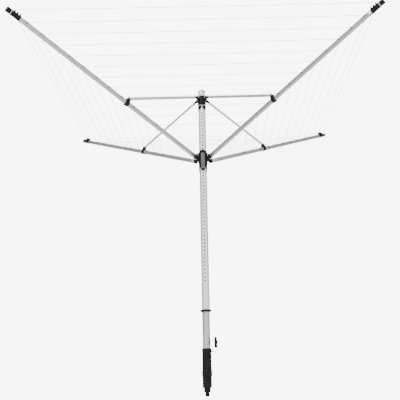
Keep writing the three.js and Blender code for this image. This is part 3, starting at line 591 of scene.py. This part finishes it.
# ---------------------------------------------------------------- the directions of each arm
class ArmFrame:
    """Origin at the root pivot; along the open arm, across it to its left, and up from its top side."""

    def __init__(self, name):
        """Works out the directions from the arm's azimuth and its place from its joint."""
        azimuth = math.radians(ARM_AZIMUTHS[name])
        outward = np.array([math.cos(azimuth), math.sin(azimuth), 0.0])
        self.name = name
        self.origin = np.array(joints[f"arm_swing_{name}"]["pos_m"])
        self.hinge = np.array(joints[f"arm_swing_{name}"]["axis"])
        self.along = math.cos(ARM_ELEVATION) * outward + math.sin(ARM_ELEVATION) * np.array([0, 0, 1.0])
        self.across = np.array([-math.sin(azimuth), math.cos(azimuth), 0.0])
        self.up = np.cross(self.along, self.across)
        self.axes = np.array([self.along, self.across, self.up])

    def place(self, local):
        """Points given as (along, across, up), in the row frame."""
        return self.origin + np.asarray(local, float) @ self.axes

    def folded(self, points, back=False):
        """Points on the arm after the fold at its full travel, or the reverse for a direction."""
        angle = fold_ratios[f"arm_swing_{self.name}"] * -FOLD_TRAVEL * (-1 if back else 1)
        turn = np.array(Matrix.Rotation(angle, 3, self.hinge.tolist()))
        return points @ turn.T


ARMS = {name: ArmFrame(name) for name in ARM_AZIMUTHS}
tube_centre = -ARM_DROP
line_heights = tube_centre + LINE_RISE
line_stations = LINE_FIRST + LINE_PITCH * np.arange(LINE_COUNT)


# ---------------------------------------------------------------- lines
def outlet(level, side):
    """Where a line leaves the arm, in the arm's own directions; side is +1 or -1 across it."""
    if level == LINE_COUNT - 1:
        top = tube_centre + CAP_SECTION["height"] / 2 + LINE_RADIUS + 0.0003
        return np.array([line_stations[level], 0.0, top])
    return np.array([line_stations[level], side * ARM_SECTION["width"] / 2, line_heights])


def half_line(arm, neighbour, level, side):
    """Line from an outlet to the middle of its span, a parabola that is level at the middle.
    """
    start = arm.place(outlet(level, side))
    other = neighbour.place(outlet(level, -side))
    middle = (start + other) / 2 - np.array([0, 0, LINE_SAG])
    folded_start = arm.folded(start - arm.origin) + arm.origin
    folded_other = neighbour.folded(other - neighbour.origin) + neighbour.origin
    folded_half = arm.folded((folded_start + folded_other) / 2 - folded_start, back=True)
    run = middle - start
    inward = -run / np.linalg.norm(run) * LINE_REACH if level < LINE_COUNT - 1 else np.zeros(3)
    t = np.linspace(0, 1, 9)[:, None]
    path = start + run * [1, 1, 0] * t + run * [0, 0, 1] * (1 - (1 - t) ** 2)
    if level < LINE_COUNT - 1:
        path = np.vstack([start + inward, path])
    points, faces, uv = carried(circle(LINE_RADIUS, 10), path, (0, 0, 1))
    which = "left" if side > 0 else "right"
    made = piece(f"line_{arm.name}_{which}_{level + 1:02d}", points, faces, LINE_COATING, f"arm_{arm.name}",
                 slot="line_cord", uv=uv)
    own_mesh(made)
    return made


def string_the_lines():
    """Every half line, from both sides of every arm; together they stand for the plain solids' lines."""
    order = list(ARM_AZIMUTHS)
    covered = [node for node in frame["nodes"] if node.startswith("line_set_") or node == "outer_line"]
    first = None
    for index, name in enumerate(order):
        for level in range(LINE_COUNT):
            left = half_line(ARMS[name], ARMS[order[(index + 1) % 4]], level, 1)
            half_line(ARMS[name], ARMS[order[index - 1]], level, -1)
            first = first or left
    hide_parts(*covered)


# ---------------------------------------------------------------- tubes
def pierced_wall(columns, round_length, rows, holes, block, radius, open_cells=()):
    """A tube's wall laid out flat, closed round in s: points (s, z), faces and face-corner (s, z).

    The wall is a grid on columns and rows. Each hole takes the place of a block of cells, given by the
    block's first row and column: a ring of quads joins the block's border to a circle about its centre,
    each border point to the circle's point in the same direction. open_cells are ranges left out.
    """
    count = len(columns)
    s_next = np.append(columns, columns[0] + round_length)
    kept = np.ones((len(rows) - 1, count), bool)
    for row, column in holes:
        kept[row:row + block[0], np.arange(column, column + block[1]) % count] = False
    for (row, row_end), (column, column_end) in open_cells:
        kept[row:row_end, column:column_end] = False
    i, j = np.nonzero(kept)
    down, over = np.stack([i, i, i + 1, i + 1], 1), np.stack([j, j + 1, j + 1, j], 1)
    faces = down * count + over % count
    corners = np.stack([s_next[over], rows[down]], -1)
    s, z = np.meshgrid(columns, rows)
    points = np.stack([s.ravel(), z.ravel()], 1)

    high, wide = block
    along = np.concatenate([np.zeros(wide), np.arange(high), np.full(wide, high),
                            np.arange(high, 0, -1)]).astype(int)
    across = np.concatenate([np.arange(wide), np.full(high, wide), np.arange(wide, 0, -1),
                             np.zeros(high)]).astype(int)
    first = np.array(holes)
    border_row, border_column = first[:, :1] + along, first[:, 1:] + across
    border = np.stack([s_next[border_column], rows[border_row]], -1)
    centre = (border.min(1, keepdims=True) + border.max(1, keepdims=True)) / 2
    away = border - centre
    rim = centre + radius * away / np.linalg.norm(away, axis=2, keepdims=True)
    border_index = border_row * count + border_column % count
    rim_index = len(points) + np.arange(rim.shape[0] * rim.shape[1]).reshape(rim.shape[:2])
    ring = np.stack([border_index, np.roll(border_index, -1, 1), np.roll(rim_index, -1, 1), rim_index], -1)
    ring_corners = np.stack([border, np.roll(border, -1, 1), np.roll(rim, -1, 1), rim], -2)
    faces = np.concatenate([faces, ring.reshape(-1, 4)])
    corners = np.concatenate([corners, ring_corners.reshape(-1, 4, 2)])
    points = np.concatenate([points, rim.reshape(-1, 2)])
    used, faces = np.unique(faces, return_inverse=True)
    return points[used], faces.reshape(-1, 4), corners.reshape(-1, 2)


def around(outline, s):
    """Points of a closed outline at the distances s round it from its first point."""
    ring = np.vstack([outline, outline[:1]])
    reach = np.concatenate([[0], np.cumsum(np.linalg.norm(np.diff(ring, axis=0), axis=1))])
    s = np.mod(s, reach[-1])
    return np.column_stack([np.interp(s, reach, ring[:, 0]), np.interp(s, reach, ring[:, 1])])


def give_wall(made, thickness, inner_material=None):
    """Thickness inwards from a surface, with its own material inside."""
    wall = made.modifiers.new("wall", "SOLIDIFY")
    wall.thickness = thickness
    wall.offset = -1.0
    wall.use_even_offset = True
    if inner_material:
        made.data.materials.append(inner_material)
        wall.material_offset = 1


def mast_tube():
    """Round tube: (s, z) goes to angle s / radius and height z, with lock holes and a slot in front."""
    radius = MAST["radius"]
    length = 2 * np.pi * radius
    near = np.array([-7.5, -5.0, -3.2, -1.6, 0.0, 1.6, 3.2, 5.0, 7.5]) * MM
    columns = np.concatenate([near, np.linspace(near[-1], length + near[0], 41)[1:-1]])
    pitch = MAST_HOLES["pitch"]
    centres = np.arange(MAST_HOLES["highest"], MAST_HOLES["lowest"] - MM, -pitch)[::-1]
    steps = np.array([-7.5, -3.75, 0.0, 3.75, 7.5]) * MM
    below = np.linspace(MAST["bottom"], MAST_SLOT_TOP, 22)
    above = np.linspace(centres[-1] + 15 * MM, MAST["top"], 20)
    rows = np.concatenate([below, (centres[:, None] + steps).ravel(), above])
    holes = [(len(below) + k * len(steps), 0) for k in range(len(centres))]
    flat, faces, uv = pierced_wall(columns, length, rows, holes, (len(steps) - 1, len(near) - 1),
                                   MAST_HOLES["radius"],
                                   open_cells=[((0, len(below) - 1), (3, 5))])
    angle = flat[:, 0] / radius - np.pi / 2
    points = np.column_stack([radius * np.cos(angle), radius * np.sin(angle), flat[:, 1]])
    made = piece("mast_outer_tube", points, faces, PALE_ALUMINIUM, "mast", ["mast_tube"], "mast_aluminium",
                 uv)
    # The wall's inside is painted near black: painted shade inside the tube and its holes.
    give_wall(made, MAST["wall"], TUBE_INSIDE_PAINTED_SHADE)


def foot_tube():
    """Round tube inside the mast and the ground sleeve, turned from its wall's outline."""
    low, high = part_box("foot_tube")
    radius = high.x
    inner = radius - FOOT_WALL
    outline = softened([[inner, low.z], [radius, low.z], [radius, high.z], [inner, high.z]], 0.4 * MM, 2,
                       closed=True)
    points, faces, uv = turned(outline, 64, closed=True)
    piece("foot_tube_drawn", points, faces, SATIN_ALUMINIUM, "mast", ["foot_tube"], "satin_aluminium", uv)


def arm_tube(arm):
    """Rounded square tube: (s, x) goes to the outline's point at s, carried x along the arm."""
    section = rounded_rectangle(ARM_SECTION["width"], ARM_SECTION["height"], ARM_SECTION["corner"], 6)
    ring = np.vstack([section, section[:1]])
    reach = np.concatenate([[0], np.cumsum(np.linalg.norm(np.diff(ring, axis=0), axis=1))])
    length = reach[-1]
    half = np.array([-4.3, -2.2, 0.0, 2.2, 4.3]) * MM
    corner_height = ARM_SECTION["height"] / 2 - ARM_SECTION["corner"]
    right = length - (corner_height - LINE_RISE)
    quarter = len(section) // 4
    left = reach[2 * quarter - 1] + corner_height - LINE_RISE
    blocks = np.concatenate([left + half, right + half])
    plain = reach[:-1][(np.abs(reach[:-1] - left) > 4.4 * MM) & (np.abs(reach[:-1] - right) > 4.4 * MM)]
    columns = np.sort(np.concatenate([plain, blocks]) % length)
    first_columns = [int(np.argmin(np.abs(columns - (block + half[0]) % length))) for block in (left, right)]
    stations = line_stations[:-1]
    gaps = (stations[:-1, None] + stations[1:, None]) / 2
    rows = np.sort(np.concatenate([
        (stations[:, None] + half).ravel(), gaps.ravel(),
        np.linspace(ARM_SPAN[0], stations[0] - 12 * MM, 8), [stations[-1] + 20 * MM, ARM_SPAN[1]]]))
    first_rows = [int(np.argmin(np.abs(rows - (station + half[0])))) for station in stations]
    holes = [(row, column) for row in first_rows for column in first_columns]
    flat, faces, uv = pierced_wall(columns, length, rows, holes, (4, 4), EYELET_HOLE)
    across_up = around(section, flat[:, 0])
    local = np.column_stack([flat[:, 1], across_up[:, 0], across_up[:, 1] + tube_centre])
    made = piece(f"arm_tube_{arm.name}", arm.place(local), faces, SATIN_ALUMINIUM, f"arm_{arm.name}",
                 [f"arm_{arm.name}"], "satin_aluminium", uv)
    # The wall's inside is painted near black: painted shade inside the tube and its holes.
    give_wall(made, ARM_SECTION["wall"], TUBE_INSIDE_PAINTED_SHADE)


def eyelets(arm):
    """Black bushes in the outlets: a small domed ring turned about each outlet's axis."""
    outline = mm([[2.1, -1.4], [3.2, -1.4], [3.3, 0.0], [5.9, 0.0], [5.9, 0.5], [4.8, 1.3], [2.9, 1.3],
                  [2.1, 0.4]])
    ring, faces, uv = turned(outline, 14, closed=True)
    sides = np.array([1, -1])
    station, side = (grid_.ravel() for grid_ in np.meshgrid(line_stations[:-1], sides, indexing="ij"))
    copies = np.stack([
        station[:, None] + ring[:, 0], side[:, None] * (ARM_SECTION["width"] / 2 + ring[:, 2]),
        line_heights + side[:, None] * ring[:, 1]], -1)
    every = (np.asarray(faces)[None] + (np.arange(len(station)) * len(ring))[:, None, None]).reshape(-1, 4)
    piece(f"line_eyelets_{arm.name}", arm.place(copies.reshape(-1, 3)), every, BLACK_PLASTIC,
          f"arm_{arm.name}",
          slot="black_plastic", uv=np.tile(uv, (len(station), 1)))


def strut_tube(name):
    """Flattened oval tube from the top hub to the clamp: an oval carried along the strut, pressed thinner
    before the clamp's pin and closed there by a half round, height r * sqrt(1 - (x / r)^2)."""
    top = sum(np.array(corner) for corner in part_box(f"top_pin_{name}")) / 2
    foot = np.array(joints[f"strut_swing_{name}"]["pos_m"])
    along = (foot - top) / np.linalg.norm(foot - top)
    length = np.linalg.norm(foot - top)
    eye = STRUT["eye"]
    angle = np.linspace(0, 2 * np.pi, 32, endpoint=False)
    oval = np.column_stack([np.sign(np.cos(angle)) * np.abs(np.cos(angle)) ** 0.8 * STRUT["half_width"],
                            np.sign(np.sin(angle)) * np.abs(np.sin(angle)) ** 0.8 * STRUT["half_height"]])
    plain = np.linspace(STRUT["end"], length - STRUT["press_start"], 12)
    press = length + np.linspace(-40, -14, 9) * MM
    round_end = length + eye * np.sin(np.linspace(0, np.pi / 2, 9))
    x = np.concatenate([plain, press, round_end])
    pressed = np.clip((x - (length - STRUT["press_start"])) / STRUT["press_run"], 0, 1)
    pressed = pressed * pressed * (3 - 2 * pressed)
    wide = 1 - 0.1 * pressed
    high = (1 - 0.16 * pressed) * np.sqrt(np.clip(1 - (np.maximum(x - length, 0) / eye) ** 2, 1e-6, 1))
    points, faces, uv = carried(oval, top + x[:, None] * along, np.cross(along, [0, 0, 1.0]),
                                np.column_stack([wide, high]))
    # The strut gets the satin aluminium painted lighter: painted light on the strut.
    piece(f"strut_tube_{name}", points, faces, STRUT_ALUMINIUM_PAINTED_LIGHT, f"strut_{name}", [f"strut_{name}"],
          "satin_aluminium",
          uv)


# ---------------------------------------------------------------- turned and moulded pieces
def along_axis(points, place, axis, side=(0, 0, 1.0)):
    """Points about Z moved so that Z runs along axis and the origin lies at place."""
    axis = np.asarray(axis, float) / np.linalg.norm(axis)
    first = np.cross(side, axis)
    first /= np.linalg.norm(first)
    return np.asarray(place) + points @ np.array([first, np.cross(axis, first), axis])


def turned_piece(name, outline, material, body, stands_for=(), slot=None, edge=0.8, sides=64, closed=False,
                 steps=3,
                 place=(0, 0, 0), axis=(0, 0, 1.0)):
    """Piece turned from an outline in millimetres with its corners rounded by edge."""
    outline = softened(mm(outline), edge * MM, steps, closed)
    points, faces, uv = turned(outline, sides, closed)
    if tuple(axis) != (0, 0, 1.0):
        points = along_axis(points, place, axis, (1.0, 0, 0) if abs(axis[2]) > 0.9 else (0, 0, 1.0))
    return piece(name, points, faces, material, body, stands_for, slot, uv)


def slab(outline, from_y, to_y, rounding=0.5):
    """Flat outline in X and Z, in millimetres, carried straight across Y."""
    flat = softened(mm(outline), rounding * MM, 3, closed=True) * [1, -1]
    return carried(flat, mm([[0, from_y, 0], [0, to_y, 0]]), (1.0, 0, 0))


def moulded(node, material, edge):
    """Moulded copy of a plain solid: coincident points and flat facets merged, sharp edges rounded."""
    source = frame["nodes"][node]
    mesh = bpy.data.meshes.new(node + "_moulded")
    shape = bmesh.new()
    shape.from_mesh(source.data)
    bmesh.ops.remove_doubles(shape, verts=shape.verts, dist=2e-5)
    bmesh.ops.dissolve_limit(shape, angle_limit=math.radians(1.0), verts=shape.verts, edges=shape.edges)
    bmesh.ops.remove_doubles(shape, verts=shape.verts, dist=1e-4)
    shape.to_mesh(mesh)
    shape.free()
    mesh.shade_smooth()
    mesh.set_sharp_from_angle(angle=math.radians(32))
    mesh.materials.clear()
    mesh.materials.append(material)
    made = bpy.data.objects.new(node + "_moulded", mesh)
    bpy.context.scene.collection.objects.link(made)
    rounding = made.modifiers.new("edges", "BEVEL")
    rounding.width = edge
    rounding.segments = 2
    rounding.limit_method = "ANGLE"
    rounding.angle_limit = math.radians(32)
    rounding.use_clamp_overlap = True
    rounding.harden_normals = True
    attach(made, body_of(node))
    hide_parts(node)
    return made


def ground_sleeve():
    """Sleeve turned about Z from its outline (r, z), with two flat ears for the lid's hinge."""
    outline = [
        [0, -262], [9, -262], [12.5, -256], [12.5, -240], [19.5, -240], [19.5, -216], [27.4, -216],
        [27.4, -155],
        [30, -152], [30, -122], [27.4, -119], [27.4, -14], [28.4, -12], [28.4, 0], [23.2, 0], [23.2, -211],
        [0, -211]]
    turned_piece("ground_sleeve_turned", outline, SLEEVE_PLASTIC, "ground_socket", ["ground_sleeve"],
                 "sleeve_plastic", edge=1.2)
    ear = [[26.4, -22], [33, -22], [35.4, -19.5], [35.4, -15.5], [33, -13], [26.4, -13]]
    ears = joined([slab(ear, -9.3, -6.3), slab(ear, 6.3, 9.3)])
    piece("sleeve_lug_ears", *ears[:2], SLEEVE_PLASTIC, "ground_socket", slot="sleeve_plastic", uv=ears[2])


def sleeve_lid():
    """Cup and finger grip turned about the open lid's axis, and its strap: a band with rounded corners
    carried along a bent line, with a barrel turned about the hinge."""
    middle = [(54 + 8) * MM, 0, 33.2 * MM]
    cup = [[0, 0], [28.2, 0], [31.2, 3], [31.2, 16], [28.8, 16], [28.8, 3.2], [24, 3.2], [24, 4.4],
           [22.6, 4.4],
           [22.6, 3.2], [0, 3.2]]
    turned_piece("sleeve_lid_cup", cup, SLEEVE_PLASTIC, "lid", ["sleeve_lid"], "sleeve_plastic", edge=0.7,
                 place=middle, axis=(-1.0, 0, 0))
    knob = [[0, -3.4], [9, -3.4], [11, -1.4], [11, 0.2], [0, 0.2]]
    turned_piece("sleeve_lid_grip", knob, SLEEVE_PLASTIC, "lid", slot="sleeve_plastic", edge=0.8, sides=40,
                 place=middle, axis=(-1.0, 0, 0))
    run = mm([[34, 0, -18.2], [42, 0, -19.5], [50, 0, -19.2], [57, 0, -16], [61.8, 0, -10], [63.4, 0, -3],
              [63.5, 0, 4],
              [63.5, 0, 18]])
    t = np.linspace(0, 1, len(run))
    fine = np.linspace(0, 1, 26)
    path = np.column_stack([np.interp(fine, t, run[:, k]) for k in range(3)])
    path[1:-1] = (path[:-2] + 2 * path[1:-1] + path[2:]) / 4
    points, faces, uv = carried(rounded_rectangle(12 * MM, 2.2 * MM, 0.9 * MM, 3), path, (0, 1.0, 0))
    piece("lid_strap_band", points, faces, PALE_PLASTIC, "lid", ["lid_strap"], "pale_plastic", uv=uv)
    barrel = [[0, -6], [3.2, -6], [3.2, 6], [0, 6]]
    turned_piece("lid_strap_barrel", barrel, PALE_PLASTIC, "lid", slot="pale_plastic", edge=0.5, sides=24,
                 place=mm([32.4, 0, -17.5]), axis=(0, 1.0, 0))


def mast_fittings():
    """Lower ring, cap and stop ring, each turned about Z from its outline (r, z)."""
    ring = [[22.8, 209], [32.5, 209], [35.5, 211], [35.5, 216], [32.5, 218], [27.7, 222], [24.3, 222],
            [24.3, 212.7],
            [22.8, 212.7]]
    turned_piece("mast_end_ring_turned", ring, BLACK_PLASTIC, "mast", ["mast_end_ring"], "black_plastic",
                 0.6, 72, True)
    cap = [[0, 1657.8], [20.7, 1657.8], [20.7, 1640], [22.5, 1640], [22.5, 1656.3], [25.5, 1656.3],
           [25.5, 1659.9],
           [24.4, 1662.8], [14.4, 1666], [0, 1667]]
    turned_piece("mast_cap_turned", cap, GREY_PLASTIC, "mast", ["mast_cap"], "grey_plastic", 1.0, 64)
    stop = [[24.3, 1624.3], [27.5, 1624.3], [27.5, 1630.3], [24.3, 1630.3]]
    turned_piece("hub_stop_ring_turned", stop, PALE_PLASTIC, "mast", ["hub_stop_ring"], "pale_plastic", 0.6,
                 64, True)


def pin(name, place, axis, half_grip, body):
    """Rivet turned about its axis: a shank with a domed and dimpled head at each end."""
    end = half_grip + PIN_HEAD_THICK
    half = [[PIN_SHANK, half_grip + 0.3], [PIN_HEAD, half_grip + 0.3], [PIN_HEAD - 0.3, end - 0.4],
            [4.0, end], [2.0, end], [1.5, end - 0.6],
            [0, end - 0.6]]
    outline = [[r, -y] for r, y in half[::-1]] + half
    turned_piece(name + "_rivet", outline, STEEL, body, [name], "steel", 0.25, 20, steps=2, place=place,
                 axis=axis)


def pins():
    """The three rivets of each arm: at its root, at its clamp and at the top of its strut."""
    for name, arm in ARMS.items():
        pin(f"root_pin_{name}", arm.origin, arm.across, 12.0, "sliding_hub")
        pin(f"clamp_pin_{name}", joints[f"strut_swing_{name}"]["pos_m"], arm.across, 11.8, f"arm_{name}")
        top = sum(np.array(corner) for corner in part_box(f"top_pin_{name}")) / 2
        pin(f"top_pin_{name}", top, arm.across, 9.3, f"strut_{name}")


def cap_winding(arm):
    """Two turns of the outermost line laid side by side in the end cap's groove."""
    station = line_stations[-1]
    loop = rounded_rectangle(CAP_SECTION["width"] - 2 * CAP_GROOVE_DEPTH + 2.3 * MM,
                             CAP_SECTION["height"] - 2 * CAP_GROOVE_DEPTH + 2.3 * MM, 2.6 * MM, 5)
    turns = []
    for shift in (-1.22 * MM, 1.22 * MM):
        local = np.column_stack([np.full(len(loop), station + shift), loop[:, 0], loop[:, 1] + tube_centre])
        turns.append(carried(circle(1.2 * MM, 8), arm.place(local), arm.along, closed_path=True))
    points, faces, uv = joined(turns)
    piece(f"cap_winding_{arm.name}", points, faces, LINE_COATING, f"arm_{arm.name}", slot="line_cord", uv=uv)
    knot = softened(mm([[0, -2.0], [2.6, -1.6], [3.2, 0], [2.6, 1.6], [0, 2.0]]), 0.9 * MM, 3)
    points, faces, uv = turned(knot, 16)
    place = arm.place([station, 0, tube_centre + CAP_SECTION["height"] / 2 + LINE_RADIUS])
    piece(f"line_knot_{arm.name}", along_axis(points, place, arm.up, (1.0, 0, 0)), faces, LINE_COATING,
          f"arm_{arm.name}", slot="line_cord", uv=uv)


def hubs():
    """Hubs, lever and the arms' fittings as moulded copies of their plain solids."""
    moulded("top_hub", BLACK_PLASTIC, 0.9 * MM)
    moulded("lower_hub", BLACK_PLASTIC, 0.9 * MM)
    moulded("grip_lever", GREY_PLASTIC, 0.9 * MM)
    for name in ARM_AZIMUTHS:
        for kind, edge in (("arm_root", 0.7), ("end_cap", 0.8), ("strut_clamp", 0.7), ("strut_end", 0.6)):
            moulded(f"{kind}_{name}", BLACK_PLASTIC, edge * MM)


def lock_parts():
    """Lock pin and lever pin turned about their axes, and the spring: a round wire carried along the
    helix (R cos a, y, R sin a), where y runs evenly from the spring's back to its front."""
    low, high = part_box("lock_pin")
    back, nose = low.y / MM, high.y / MM
    shank = [[0, back], [5.6, back], [6.4, back + 0.8], [6.4, back + 2.4], [3.6, back + 2.4],
             [3.6, nose - 1.5],
             [2.4, nose], [0, nose]]
    turned_piece("lock_pin_turned", shank, STEEL, "lock", ["lock_pin"], "steel", 0.3, 24, steps=2,
                 place=(0, 0, LOCK_HEIGHT), axis=(0, 1.0, 0))
    axle = [[0, -18], [2.4, -18], [2.4, 18], [0, 18]]
    turned_piece("lever_pin_turned", axle, STEEL, "sliding_hub", ["lever_pin"], "steel", 0.4, 24,
                 place=mm([0, -38, 1197]), axis=(1.0, 0, 0))
    low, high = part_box("lock_spring")
    turn = np.linspace(0, 2 * np.pi * SPRING["turns"], 121)
    reach = np.linspace(low.y + SPRING["wire"], high.y - SPRING["wire"], 121)
    radius = SPRING["radius"]
    path = np.column_stack([radius * np.cos(turn), reach, LOCK_HEIGHT + radius * np.sin(turn)])
    points, faces, uv = carried(circle(SPRING["wire"], 8), path, (0, 1.0, 0))
    piece("lock_spring_wire", points, faces, SPRING_STEEL, "sliding_hub", ["lock_spring"], "spring_steel", uv)


def lever_ribs():
    """Finger ribs across the lever's face: rounded bars carried along X."""
    bars = []
    for height in np.arange(1108, 1141, 6.5):
        path = mm([[-8.5, -48, height], [8.5, -48, height]])
        bars.append(carried(rounded_rectangle(1.6 * MM, 2.4 * MM, 0.7 * MM, 3), path, (0, 1.0, 0)))
    points, faces, uv = joined(bars)
    piece("lever_finger_ribs", points, faces, GREY_PLASTIC, "lever", slot="grey_plastic", uv=uv)


# ---------------------------------------------------------------- materials of the plain solids
def finish_plain_solids():
    """Material of each plain solid, by its slot in the record."""
    for name, node in frame["nodes"].items():
        slot = next(part["material_slot"] for part in frame["record"]["subparts"] if part["node"] == name)
        by_slot = {
            # Struts get the satin aluminium painted lighter: painted light on the struts.
            "satin_aluminium": STRUT_ALUMINIUM_PAINTED_LIGHT if name.startswith("strut") else SATIN_ALUMINIUM,
            "mast_aluminium": PALE_ALUMINIUM, "black_plastic": BLACK_PLASTIC, "grey_plastic": GREY_PLASTIC,
            "pale_plastic": PALE_PLASTIC, "sleeve_plastic": SLEEVE_PLASTIC, "steel": STEEL,
            "spring_steel": SPRING_STEEL, "line_cord": LINE_COATING,
        }
        for material_slot in node.material_slots:
            material_slot.material = by_slot[slot]


place_camera()
string_the_lines()
lay_floor()
light_the_stage()
finish_plain_solids()
mast_tube()
foot_tube()
mast_fittings()
ground_sleeve()
sleeve_lid()
hubs()
lever_ribs()
lock_parts()
pins()
for arm_name, arm_frame in ARMS.items():
    arm_tube(arm_frame)
    eyelets(arm_frame)
    cap_winding(arm_frame)
    strut_tube(arm_name)
